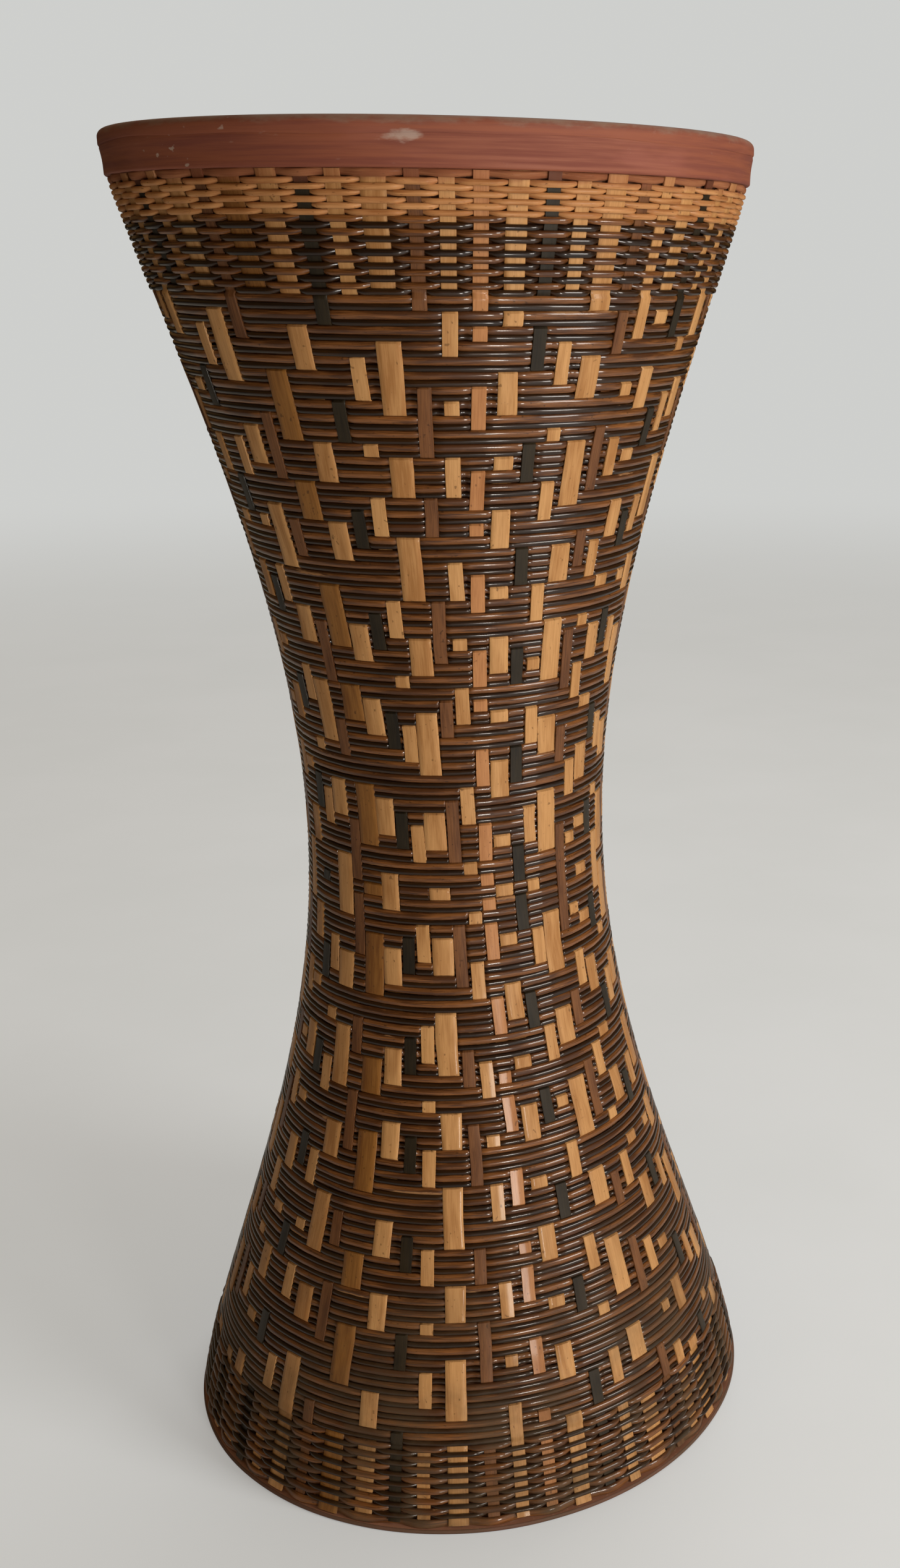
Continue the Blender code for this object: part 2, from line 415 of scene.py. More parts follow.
# a paler band along the top of the lip: partly dust, partly a painted highlight where the round lip meets the
# light
past_lip = graph.math("MULTIPLY_ADD", rough_edge, 0.008, graph.math("SUBTRACT", height, given["Lip height"]))
lip_dust_and_highlight = graph.ramp(past_lip, 0.0008, 0.0045)
colour = graph.mix(graph.math("MULTIPLY", lip_dust_and_highlight, 0.75), colour, given["Lip dust and highlight"])
from_scuff = graph.add("ShaderNodeVectorMath", operation="SUBTRACT")
graph.join(position, from_scuff.inputs[0])
graph.join(given["Scuff middle"], from_scuff.inputs[1])
scuff_reach = graph.length(graph.stretch(from_scuff.outputs[0], (0.45, 0.4, 1.6)))
scuffed = graph.math("ADD", graph.ramp(scuff_reach, 0.0, 0.007, 0.45, 0.0), rough_edge)
scuffed = graph.math("MULTIPLY", graph.ramp(scuffed, 0.66, 0.92), 0.5)
colour = graph.mix(scuffed, colour, given["Scuff"])
# the paint gets darker towards the foot ring
foot_darkening = graph.ramp(height, 0.004, 0.012, 0.80, 0.0)
graph.join(graph.mix(foot_darkening, colour, given["Darkening"]), result["Colour"])
graph.join(brushed, result["Height"])
brushed_paint = graph.tree
print("groups:", ", ".join(sorted(group.name for group in bpy.data.node_groups)))

# %% [markdown]
# ## Cane finishes
#
# The stakes are flat split cane in a few colours: natural, tan, red-brown and green-black. The weavers
# are half-round cane, brown and near black, and natural next to the collar. All were varnished, so the
# shader has a clear coat. The red paint reaches the canes near the collar, and towards the floor the canes
# darken, partly with dust and partly as painted shade.

# %% Cane materials
PAINT = (0.275, 0.077, 0.036, 1.0)
# the colour the lower end darkens to: partly dust, partly painted shade
DUST_AND_SHADE = (0.085, 0.056, 0.030, 1.0)
BARE_CANE = (0.330, 0.165, 0.070, 1.0)
COLLAR_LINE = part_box("border_top")[1].z
SMEAR_REACH = 0.009
DUST_AND_SHADE_REACH = 0.170


def cane_material(name, light, dark, streaks, blotches, wear, smear, dust, gloss, coat):
    """Varnished cane. gloss is the roughness where the varnish is whole, and coat is its strength. dust says
    how much the lower end darkens, partly as dust and partly as painted shade.
    """
    material, graph, shader = new_material(name)
    cane = graph.add("ShaderNodeAttribute", attribute_name="cane").outputs["Vector"]
    grain = graph.use(fibre, cane=cane, light=(*light, 1.0), dark=(*dark, 1.0),
                      streaks=streaks, blotches=blotches)
    worn = graph.use(skin_wear, cane=cane, colour=grain.outputs["Colour"], bare=BARE_CANE, amount=wear)
    smeared = graph.use(paint_smear, colour=worn.outputs["Colour"], paint=PAINT, line=COLLAR_LINE,
                        reach=SMEAR_REACH, amount=smear)
    # the lower end darkens towards the dust and shade colour: partly dust, partly painted shade
    dusty_and_shaded = graph.use(dust_and_painted_shade, colour=smeared.outputs["Colour"], dust=DUST_AND_SHADE, amount=dust,
                      reach=DUST_AND_SHADE_REACH)
    graph.join(dusty_and_shaded.outputs["Colour"], shader.inputs["Base Color"])
    rough = graph.ramp(grain.outputs["Unevenness"], 0.35, 0.70, gloss, gloss + 0.16)
    matt = graph.math("MAXIMUM", worn.outputs["Mask"], smeared.outputs["Mask"])
    matt = graph.math("MAXIMUM", matt, dusty_and_shaded.outputs["Mask"])
    rough = graph.math("MULTIPLY_ADD", matt, 0.35, rough, clamp=True)
    graph.join(rough, shader.inputs["Roughness"])
    graph.join(graph.math("MULTIPLY", graph.math("SUBTRACT", 1.0, matt), coat), shader.inputs["Coat Weight"])
    shader.inputs["Coat Roughness"].default_value = 0.12
    shader.inputs["Specular IOR Level"].default_value = 0.22
    graph.bump(grain.outputs["Height"], 0.35, 0.15 * MM, shader)
    return material


# %% Stake finishes
light_stake = cane_material(
    "light_stake", light=(0.600, 0.320, 0.125), dark=(0.370, 0.165, 0.050),
    streaks=0.40, blotches=0.50, wear=0.08, smear=0.45, dust=0.58, gloss=0.44, coat=0.15,
)
rosy_stake = cane_material(
    "rosy_stake", light=(0.500, 0.225, 0.085), dark=(0.310, 0.115, 0.036),
    streaks=0.45, blotches=0.40, wear=0.08, smear=0.45, dust=0.58, gloss=0.44, coat=0.15,
)
amber_stake = cane_material(
    "amber_stake", light=(0.310, 0.135, 0.030), dark=(0.180, 0.066, 0.012),
    streaks=0.55, blotches=0.50, wear=0.08, smear=0.45, dust=0.50, gloss=0.42, coat=0.18,
)
russet_stake = cane_material(
    "russet_stake", light=(0.205, 0.082, 0.028), dark=(0.100, 0.036, 0.012),
    streaks=0.60, blotches=0.55, wear=0.08, smear=0.45, dust=0.50, gloss=0.42, coat=0.20,
)
black_stake = cane_material(
    "black_stake", light=(0.030, 0.020, 0.009), dark=(0.012, 0.008, 0.004),
    streaks=0.50, blotches=0.50, wear=0.06, smear=0.40, dust=0.35, gloss=0.42, coat=0.20,
)

# %% Weaver finishes
brown_weaver = cane_material(
    "brown_weaver", light=(0.255, 0.095, 0.026), dark=(0.070, 0.022, 0.005),
    streaks=0.70, blotches=0.85, wear=0.20, smear=0.35, dust=0.75, gloss=0.34, coat=0.75,
)
black_weaver = cane_material(
    "black_weaver", light=(0.036, 0.013, 0.003), dark=(0.012, 0.004, 0.001),
    streaks=0.60, blotches=0.60, wear=0.12, smear=0.35, dust=0.60, gloss=0.32, coat=0.75,
)
natural_weaver = cane_material(
    "natural_weaver", light=(0.610, 0.300, 0.120), dark=(0.330, 0.125, 0.036),
    streaks=0.40, blotches=0.50, wear=0.06, smear=0.35, dust=0.0, gloss=0.48, coat=0.10,
)
border_weaver = cane_material(
    "border_weaver", light=(0.420, 0.190, 0.080), dark=(0.200, 0.075, 0.030),
    streaks=0.50, blotches=0.70, wear=0.10, smear=0.40, dust=0.70, gloss=0.60, coat=0.05,
)
print("cane finishes:", ", ".join(material.name for material in bpy.data.materials))

# %% [markdown]
# ## The stakes: order, widths and angles
#
# Sixty flat stakes stand round the shell. They come in short sets of the same few canes, a slim light
# one, a broad light one, a red-brown one and so on, and each letter below is one stake. At the waist they
# nearly touch, so a stake's share of the circle follows its width. They drift a few degrees to the right
# on their way down and spread a little from the front, as the pull of the weavers is never even.

# %% Order of the stakes
# a letter's material and its width in millimetres
KINDS = {
    "l": (light_stake, 6.2), "W": (light_stake, 9.6), "R": (russet_stake, 5.6),
    "A": (amber_stake, 10.4), "L": (light_stake, 8.8), "B": (black_stake, 5.7),
    "T": (rosy_stake, 6.0), "w": (light_stake, 8.2),
}
ORDER = "lWRALB" + "lWRlTwB" + "lWRlwB" + "lWRlTwB" * 5 + "lWRlwB"
STAKES = len(ORDER)
FRONT_STAKE = 7  # counted from the first letter
FRONT_STAKE_ANGLE = -10.0
LEAN_LENGTHS = (0.0, 0.17, 0.30, 0.45, 0.62)  # metres down the outline
LEAN_DEGREES = (0.0, 0.0, 2.4, 6.0, 6.5)
FAN_SHARES = (-0.030, 0.0, 0.012, 0.045, 0.045)  # how far the stakes spread from the front
EVENNESS = 0.4  # 0 shares the circle by width, 1 shares it evenly
STAKE_GAP = 0.5 * MM

widths = np.array([KINDS[letter][1] for letter in ORDER]) * MM
by_width = (widths + np.roll(widths, -1)) / 2 + STAKE_GAP
steps_round = 360 * ((1 - EVENNESS) * by_width / by_width.sum() + EVENNESS / STAKES)
stake_angles = np.concatenate([[0.0], np.cumsum(steps_round)[:-1]])
stake_angles += FRONT_STAKE_ANGLE - stake_angles[FRONT_STAKE]


def angle_down(degrees, lengths):
    """Where a stake that starts at an angle has got to, some way down the outline."""
    fan = np.degrees(np.interp(lengths, LEAN_LENGTHS, FAN_SHARES) * np.sin(np.radians(degrees)))
    return degrees + np.interp(lengths, LEAN_LENGTHS, LEAN_DEGREES) + fan


print(f"{STAKES} stakes, {sum(widths) * 1000:.0f} mm of cane side by side")

# %% [markdown]
# ## The draft of the weave
#
# A weaver works from a draft: how many rounds pass over a stake, then how many pass behind it, and so on
# from top to bottom. Where rounds pass behind, the stake shows as a light block. The rounds come in pairs,
# a brown cane above a black one. In the bands next to the collar and the foot the two canes take turns
# instead, brown over one stake and black over the next.
#
# A stepped twill needs no draft of its own for every stake. Each kind of cane has one short figure that
# repeats along it, in odd counts, and each stake starts its figure a few pairs away from where the stake
# on its left does. That makes the stair steps. They turn round at the waist.

# %% The draft
# pairs over, pairs behind, pairs over and so on, for each kind of stake
FIGURES = {
    "l": (5, 3, 3, 1, 3, 3), "W": (3, 5, 3, 3), "R": (5, 3, 3, 5), "A": (3, 5, 5, 3),
    "L": (5, 3, 3, 3), "B": (5, 3, 5, 3), "T": (3, 3, 3, 1, 1, 3), "w": (3, 3, 3, 1),
}
STEP = 5  # pairs between the starts of two neighbouring stakes
TWILL_BELTS = {"weave_upper_twill": 32, "weave_waist_twill": 27, "weave_lower_twill": 31}
TWILL_PAIRS = sum(TWILL_BELTS.values())
WAIST_PAIR = TWILL_PAIRS // 2


def stake_shows(stake, pair):
    """Whether a stake shows where a pair of the twill's rounds crosses it."""
    figure = FIGURES[ORDER[stake]]
    left = (abs(pair - WAIST_PAIR) + STEP * stake) % sum(figure)
    for turn, count in enumerate(figure):
        if left < count:
            return turn % 2 == 1
        left -= count


shown = np.array([[stake_shows(stake, pair) for pair in range(TWILL_PAIRS)] for stake in range(STAKES)])
print(f"stakes show in {shown.mean():.0%} of the twill")

# %% [markdown]
# ## Where each round lies
#
# Pairs of rounds are numbered from the top, through all the belts. The frame's belts say how far down the
# outline each band of the weave starts. A real weaver spirals down, one round's height for each turn. Here
# the step down is made at the back, so that the rounds at the front lie level, as they seem to.

# %% Rounds and belts
PAIRS = {"weave_natural": 3, "weave_upper_plain": 6, **TWILL_BELTS, "weave_foot_plain": 7}
# as far as this share of the belt, the rounds are looser and take this much more length
LOOSER = {"weave_upper_twill": (0.28, 1.8 * MM), "weave_lower_twill": (0.45, 1.0 * MM)}
pair_knots, length_knots = [0], [length_at(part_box("weave_natural")[1].z)]
for belt, pairs in PAIRS.items():
    start, end = length_knots[-1], length_at(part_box(belt)[0].z)
    belt_start = sum(PAIRS[earlier] for earlier in list(PAIRS)[:list(PAIRS).index(belt)])
    if belt in LOOSER:
        share, extra = LOOSER[belt]
        length_knots.append(start + (end - start) * share + extra)
        pair_knots.append(belt_start + pairs * share)
    pair_knots.append(belt_start + pairs)
    length_knots.append(end)
FIRST_TWILL = PAIRS["weave_natural"] + PAIRS["weave_upper_plain"]
LAST_TWILL = FIRST_TWILL + TWILL_PAIRS
ALL_PAIRS = sum(PAIRS.values())
JACKET_TOP = length_at(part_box("border_top")[1].z)
JACKET_BOTTOM = length_at(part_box("border_foot")[0].z)


def length_of_pair(number):
    """Distance down the outline to the top of a pair of rounds. The number can be a fraction."""
    return np.interp(number, pair_knots, length_knots)


BACK_START, BACK_END = 105.0, 255.0  # degrees between which a round steps down to the next
first_station = int(np.argmax(stake_angles > BACK_START))
stations = [(first_station + i) % STAKES for i in range(STAKES)]
print("pitch of the pairs, mm:", np.round(1000 * np.diff(length_knots) / np.diff(pair_knots), 2))

# %% [markdown]
# ## Depths in the jacket
#
# Cane has a thickness, so stakes and weavers can't both lie on the surface. Where weavers pass over a stake
# it lies deep, next to the clay, and where they pass behind it comes out to the surface. The weavers do the
# opposite. In the plain bands the stakes run straight, half way down, and the weavers swing round them.

# %% Depths and stake bodies
STAKE_THICKNESS = 1.0 * MM
WEAVER_THICKNESS = 1.9 * MM
SHOWN_DEPTH = 0.5 * MM  # from the outline in to a stake's face where it shows
COVERED_DEPTH = 2.3 * MM  # the same where weavers cover it
PLAIN_DEPTH = 1.5 * MM
GRAIN_WIDTH = 3.0 * MM  # cane that counts as one unit across in the fibre group
# a stake's section, in half widths across and in thicknesses out from its face
SECTION_ACROSS = np.array([-1.0, -0.95, -0.5, 0.0, 0.5, 0.95, 1.0, 0.95, -0.95])
SECTION_OUT = np.array([-0.30, -0.06, 0.0, 0.03, 0.0, -0.06, -0.30, -1.0, -1.0])
BENDS = (0.10, 0.34, 0.66, 0.90)  # where a stake bends, as shares of a pair's height


def stake_depth(stake, pair):
    """Depth of a stake's face where a pair of rounds crosses it."""
    if FIRST_TWILL <= pair < LAST_TWILL:
        return SHOWN_DEPTH if shown[stake, pair - FIRST_TWILL] else COVERED_DEPTH
    return PLAIN_DEPTH


def stake_tube(stake, rng):
    """A flat cane from the collar to the foot, bent in and out between the rounds."""
    material, width = KINDS[ORDER[stake]]
    lengths, depths = [JACKET_TOP + rng.uniform(-0.2, 0.4) * MM], [PLAIN_DEPTH]
    for pair in range(ALL_PAIRS):
        low, high = length_of_pair(pair), length_of_pair(pair + 1)
        for share in BENDS:
            lengths.append(low + (high - low) * share)
            depths.append(stake_depth(stake, pair))
    lengths.append(JACKET_BOTTOM - rng.uniform(0.0, 2.2) * MM)
    depths.append(PLAIN_DEPTH - 0.8 * MM)
    lengths, depths = np.array(lengths), np.array(depths)
    count = len(lengths)
    half = width * MM / 2 * (1 + smooth_noise(rng, count, 6, 0.022))
    centre = angle_down(stake_angles[stake], lengths)
    centre = centre + np.degrees(smooth_noise(rng, count, 14, 0.25 * MM) / radius_at(lengths))
    depths = depths + smooth_noise(rng, count, 5, 0.05 * MM)
    across = half[:, None] * SECTION_ACROSS
    degrees = centre[:, None] + np.degrees(across / radius_at(lengths)[:, None])
    rings = place(degrees, lengths[:, None], STAKE_THICKNESS * SECTION_OUT - depths[:, None])
    along = np.broadcast_to(lengths[:, None], degrees.shape)
    grain = np.stack([along, across / GRAIN_WIDTH, np.full(degrees.shape, rng.random() * 9)], axis=-1)
    return rings[:, ::-1], grain[:, ::-1]


# %% Make the stakes
stake_materials = [light_stake, rosy_stake, amber_stake, russet_stake, black_stake]
groups = [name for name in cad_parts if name.startswith("stake_group")]
in_group = STAKES // len(groups)
for number in range(len(groups)):
    tubes = []
    for stake in range(number * in_group, (number + 1) * in_group):
        rings, grain = stake_tube(stake, np.random.default_rng(100 + stake))
        tubes.append((rings, grain, stake_materials.index(KINDS[ORDER[stake]][0])))
    make_piece(f"stakes_{number + 1}", tubes, stake_materials, [f"stake_group_{number + 1}"])

# %% [markdown]
# ## The weavers
#
# A weaver is one long half-round cane. Its path goes from stake to stake, over or behind each as the draft
# says, and its height is that of its round. A point just inside each edge of a stake and one to three in
# the gap are enough, because the cane bends only where it changes side. The section is half an ellipse on
# a flat back, and it gets narrower where the cane dives behind a stake.

# %% Over or under
# the section of a weaver: its points as parts of the half width across and of the thickness out
ROUND_ANGLES = np.radians([3, 22, 48, 78, 102, 132, 158, 177])
ROUND_ACROSS = -np.cos(ROUND_ANGLES)
ROUND_OUT = np.sin(ROUND_ANGLES) ** 0.5 - 0.5
UPPER_EXTRA = 0.07  # how much more of a pair's height the brown weaver takes in the twill
UNDER_EDGE = 0.40 * MM  # how far a weaver is under a stake's face where it goes in behind it
NECK_RISE = 0.8 * MM  # extra depth between two stakes that both show


def over_stake(stake, pair, strand):
    """Whether a strand (0 the upper, 1 the lower of a pair) passes over a stake."""
    if FIRST_TWILL <= pair < LAST_TWILL:
        return not shown[stake, pair - FIRST_TWILL]
    return (stake + strand) % 2 == 0


def weaver_depth(stake, pair, strand, thickness):
    face = stake_depth(stake, pair)
    if over_stake(stake, pair, strand):
        return face - thickness / 2
    return face + STAKE_THICKNESS + thickness / 2


# %% The path of a weaver


def step_down(degrees):
    """Share of the step to the next round that is made at an angle, all of it at the back."""
    share = np.clip((degrees - BACK_START) / (BACK_END - BACK_START), 0, 1)
    return share * share * (3 - 2 * share)


def weaver_path(first, last, strand, thickness):
    """Angles, pair numbers and depths along one strand, for pairs first to last."""
    passes = []
    for pair in range(first, last):
        for stake in stations:
            angle = stake_angles[stake] + (360 if stake < first_station else 0)
            passes.append((stake, pair, angle, weaver_depth(stake, pair, strand, thickness)))
    angles, depths = [], []
    for here, there in zip(passes, passes[1:] + passes[-1:]):
        stake, pair, angle, depth = here
        next_stake, next_pair, next_angle, next_depth = there
        length = length_of_pair(pair + 0.5)
        angle = angle_down(angle, length) + 360 * pair
        next_angle = angle_down(next_angle, length) + 360 * next_pair
        edge = np.degrees(0.5 * widths[stake] / radius_at(length))
        next_edge = np.degrees(0.5 * widths[next_stake] / radius_at(length))
        brink = stake_depth(stake, pair) + thickness / 2 + UNDER_EDGE
        next_brink = stake_depth(next_stake, next_pair) + thickness / 2 + UNDER_EDGE
        if over_stake(stake, pair, strand):
            angles += [angle - 0.9 * edge, angle + 0.9 * edge]
            depths += [depth, depth]
            leaving = depth
        else:
            angles += [angle - edge, angle - 0.5 * edge, angle + 0.5 * edge, angle + edge]
            depths += [brink, depth, depth, brink]
            leaving = brink
        if there is here:
            break
        arriving = next_depth if over_stake(next_stake, next_pair, strand) else next_brink
        nearest = min(leaving, arriving)
        if leaving == brink and arriving == next_brink:
            nearest += NECK_RISE
        gap = (next_angle - next_edge) - (angle + edge)
        for share, reach in ((0.3, leaving), (0.7, arriving)):
            angles.append(angle + edge + gap * share)
            depths.append(nearest + (reach - nearest) * 0.35)
    angles, depths = np.array(angles), np.array(depths)
    turn = np.floor((angles - BACK_START) / 360)
    numbers = turn - 1 + step_down(angles - 360 * turn)
    return angles, numbers, depths


# %% Weaver bodies
FULLNESS = 1.03  # weavers are squeezed together, so each is a little wider than its room
NARROWER = 0.22  # the share of its width that a weaver loses behind a stake
LEAST_ROOM = 0.5 * MM


def weaver_tube(first, last, strand, rng):
    """One strand of a belt as a closed tube."""
    angles, numbers, depths = weaver_path(first, last, strand, WEAVER_THICKNESS)
    top = np.maximum(length_of_pair(numbers), length_knots[0])
    bottom = np.minimum(length_of_pair(numbers + 1), length_knots[-1])
    room = np.maximum(bottom - top, LEAST_ROOM)
    count = len(angles)
    upper_share = 0.5 + UPPER_EXTRA * np.clip((numbers - FIRST_TWILL + 1) / 2, 0, 1)
    share = upper_share if strand == 0 else 1 - upper_share
    centre = top + room * share / 2 if strand == 0 else bottom - room * share / 2
    centre = centre + smooth_noise(rng, count, 13, 0.15 * MM)
    dive = np.clip((depths - PLAIN_DEPTH) / (2 * MM), 0, 1)
    half = room * share / 2 * FULLNESS * (1 + smooth_noise(rng, count, 9, 0.055)) * (1 - NARROWER * dive)
    depths = depths + smooth_noise(rng, count, 4, 0.06 * MM)
    lengths = centre[:, None] + half[:, None] * ROUND_ACROSS
    thick = np.minimum(WEAVER_THICKNESS, room * 0.42)[:, None]
    rings = place(angles[:, None], lengths, thick * ROUND_OUT - depths[:, None])
    along = np.cumsum(np.concatenate([[0.0], np.radians(np.diff(angles)) * radius_at(centre)[1:]]))
    along = np.broadcast_to(along[:, None], lengths.shape)
    across = np.broadcast_to(ROUND_ACROSS, lengths.shape)
    return rings, np.stack([along, across, np.full(lengths.shape, rng.random() * 9)], axis=-1)


def weave_belt(name, first, last, materials, seed):
    """Both strands of a belt: the upper has the first material, the lower the second."""
    rng = np.random.default_rng(seed)
    tubes = []
    for strand in (0, 1):
        rings, grain = weaver_tube(first, last, strand, rng)
        tubes.append((rings, grain, strand))
    return make_piece(f"{name}_canes", tubes, materials, [name])


# %% Weave the belts
first = 0
for number, (belt, pairs) in enumerate(PAIRS.items()):
    natural = belt == "weave_natural"
    pair_materials = [natural_weaver, natural_weaver] if natural else [brown_weaver, black_weaver]
    weave_belt(belt, first, first + pairs, pair_materials,
               200 + number)
    first += pairs

# %% [markdown]
# ## The two borders
#
# At each end one flat strip is drawn in and out of the stakes to lock the weave. The upper one touches the
# collar and took some of its paint. The strip is a closed ring, as its ends are tucked in behind a stake.

# %% Border strips


def border_tube(length, half, thickness, strand, rng):
    """A strip once round the drum, over every second stake."""
    angles, depths = [], []
    for stake in stations + stations[:1]:
        angle = angle_down(stake_angles[stake], length)
        angle += 360 if angles and stake <= first_station else 0
        edge = np.degrees(0.45 * widths[stake] / radius_at(length))
        over = (stake + strand) % 2 == 0
        depth = PLAIN_DEPTH + (-thickness / 2 if over else STAKE_THICKNESS + thickness / 2)
        angles += [angle - edge, angle, angle + edge]
        depths += [depth] * 3
    angles, depths = np.array(angles), np.array(depths)
    fine = np.linspace(angles[0], angles[-1], 6 * STAKES)
    depths = np.interp(fine, angles, depths) + smooth_noise(rng, len(fine), 5, 0.08 * MM)
    centre = length + smooth_noise(rng, len(fine), 12, 0.12 * MM)
    spread = half * (1 + smooth_noise(rng, len(fine), 15, 0.05))
    lengths = centre[:, None] + spread[:, None] * ROUND_ACROSS
    rings = place(fine[:, None], lengths, thickness * ROUND_OUT - depths[:, None])
    along = np.broadcast_to(np.radians(fine)[:, None] * radius_at(length), lengths.shape)
    across = np.broadcast_to(ROUND_ACROSS, lengths.shape)
    return rings, np.stack([along, across, np.full(lengths.shape, rng.random() * 9)], axis=-1)


STRIP_THICKNESS = 1.5 * MM
for border, strand in (("border_top", 1), ("border_foot", 0)):
    low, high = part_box(border)
    upper, lower = length_at(high.z), length_at(low.z)
    rings, grain = border_tube((upper + lower) / 2, (lower - upper) / 2, STRIP_THICKNESS, strand,
                               np.random.default_rng(300 + strand))
    material = border_weaver if border == "border_top" else brown_weaver
    make_piece(f"{border}_strip", [(rings, grain, 0)], [material], [border])

# %% [markdown]
# ## Clay, paint and hide
#
# The shell was turned on a wheel, then its collar and foot ring got a matt red earth paint, put on with a
# brush. Inside, the clay is bare. The hide is thin rawhide. It was glued on wet, turned down over the lip
# and painted over along with the collar, so its edge shows only as a fine crease.

# %% Painted clay
COLLAR_PAINT = {
    "paint": PAINT,
    "streak": (0.150, 0.034, 0.026, 1.0),
    "faded": (0.330, 0.105, 0.070, 1.0),
    "scuff": (0.560, 0.470, 0.400, 1.0),
    "scuff_middle": (-0.013, -0.137, 0.6025),  # a rubbed spot near the front
    # paler along the top of the lip: partly dust, partly a painted highlight
    "lip_dust_and_highlight": (0.270, 0.180, 0.130, 1.0),
    "lip_height": HEIGHT,
    # the colour the paint darkens to at the foot
    "darkening": (0.105, 0.058, 0.036, 1.0),
}
painted_clay, graph, shader = new_material("painted_collar_and_foot")
coat = graph.use(brushed_paint, **COLLAR_PAINT)
# the foot ring darkens within 2 cm of the floor: partly dust, partly painted shade
dusty_and_shaded = graph.use(dust_and_painted_shade, colour=coat.outputs["Colour"], dust=DUST_AND_SHADE, amount=0.5, reach=0.02)
graph.join(dusty_and_shaded.outputs["Colour"], shader.inputs["Base Color"])
graph.join(graph.ramp(coat.outputs["Height"], 0.3, 0.7, 0.62, 0.82), shader.inputs["Roughness"])
graph.bump(coat.outputs["Height"], 0.5, 0.25 * MM, shader)
print("made", painted_clay.name)

# %% Bare clay
BARE_CLAY = (0.330, 0.150, 0.085, 1.0)
bare_clay, graph, shader = new_material("bare_clay")
position = graph.position()
rings_left = graph.noise(graph.stretch(position, (6.0, 6.0, 260.0)), 1.0, 3.0, 0.5)
grit = graph.noise(position, 420.0, 3.0, 0.6)
colour = graph.mix(graph.ramp(rings_left, 0.35, 0.7, 0.0, 0.6), BARE_CLAY, (0.200, 0.080, 0.045, 1.0))
colour = graph.mix(graph.ramp(grit, 0.55, 0.75, 0.0, 0.5), colour, (0.450, 0.260, 0.170, 1.0))
graph.join(colour, shader.inputs["Base Color"])
graph.join(graph.ramp(grit, 0.3, 0.7, 0.80, 0.95), shader.inputs["Roughness"])
graph.bump(graph.math("ADD", rings_left, graph.math("MULTIPLY", grit, 0.4)), 0.6, 0.4 * MM, shader)
print("made", bare_clay.name)

# %% Hide
HIDE_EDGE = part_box("drumhead")[1].x
hide_material, graph, shader = new_material("rawhide_with_painted_skirt")
position = graph.position()
mottle = graph.noise(position, 16.0, 5.0, 0.62)
pores = graph.noise(position, 620.0, 2.0, 0.5)
colour = graph.mix(graph.ramp(mottle, 0.34, 0.68), (0.610, 0.480, 0.310, 1.0), (0.400, 0.270, 0.140, 1.0))
colour = graph.mix(graph.ramp(pores, 0.55, 0.72, 0.0, 0.35), colour, (0.250, 0.150, 0.080, 1.0))
coat = graph.use(brushed_paint, **COLLAR_PAINT)
from_axis = graph.length(graph.stretch(position, (1.0, 1.0, 0.0)))
ragged = graph.math("MULTIPLY", graph.noise(position, 34.0, 4.0, 0.6), 0.012)
painted = graph.ramp(graph.math("ADD", from_axis, ragged), HIDE_EDGE - 0.0045, HIDE_EDGE - 0.0025)
graph.join(graph.mix(painted, colour, coat.outputs["Colour"]), shader.inputs["Base Color"])
graph.join(graph.ramp(painted, 0.0, 1.0, 0.48, 0.74), shader.inputs["Roughness"])
graph.bump(graph.math("ADD", mottle, graph.math("MULTIPLY", pores, 0.3)), 0.4, 0.3 * MM, shader)
print("made", hide_material.name)

# %% Dried glue
glue_material, graph, shader = new_material("dried_hide_glue")
cloudy = graph.noise(graph.position(), 90.0, 3.0, 0.6)
graph.join(graph.mix(cloudy, (0.450, 0.250, 0.090, 1.0), (0.250, 0.120, 0.035, 1.0)),
           shader.inputs["Base Color"])
graph.join(graph.ramp(cloudy, 0.3, 0.7, 0.22, 0.45), shader.inputs["Roughness"])
glue_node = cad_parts["hide_glue_bed"]
glue_node.data.materials.clear()
glue_node.data.materials.append(glue_material)
print("made", glue_material.name)

# %% [markdown]
# ## The turned shell and the head
#
# Both are turned profiles with many steps round the axis. A wheel-thrown pot is never quite true, so each
# point moves in or out by a few tenths of a millimetre, by a sum of slow waves. The profile runs down the
# outside, across the foot ring and up the inside.

# %% Turned bodies
TURN_STEPS = 240
NEAR_AXIS = 10 * MM  # points nearer to the axis stay true


def hand_made(angle, height):
    """A small change of radius that wanders round the drum, in metres."""
    slow = math.sin(2 * angle + 0.6) + 0.6 * math.sin(3 * angle + 40 * height)
    quick = 0.35 * math.sin(11 * angle + 90 * height + 1.0) + 0.25 * math.sin(17 * angle - 130 * height)
    return 0.16 * MM * (slow + quick)


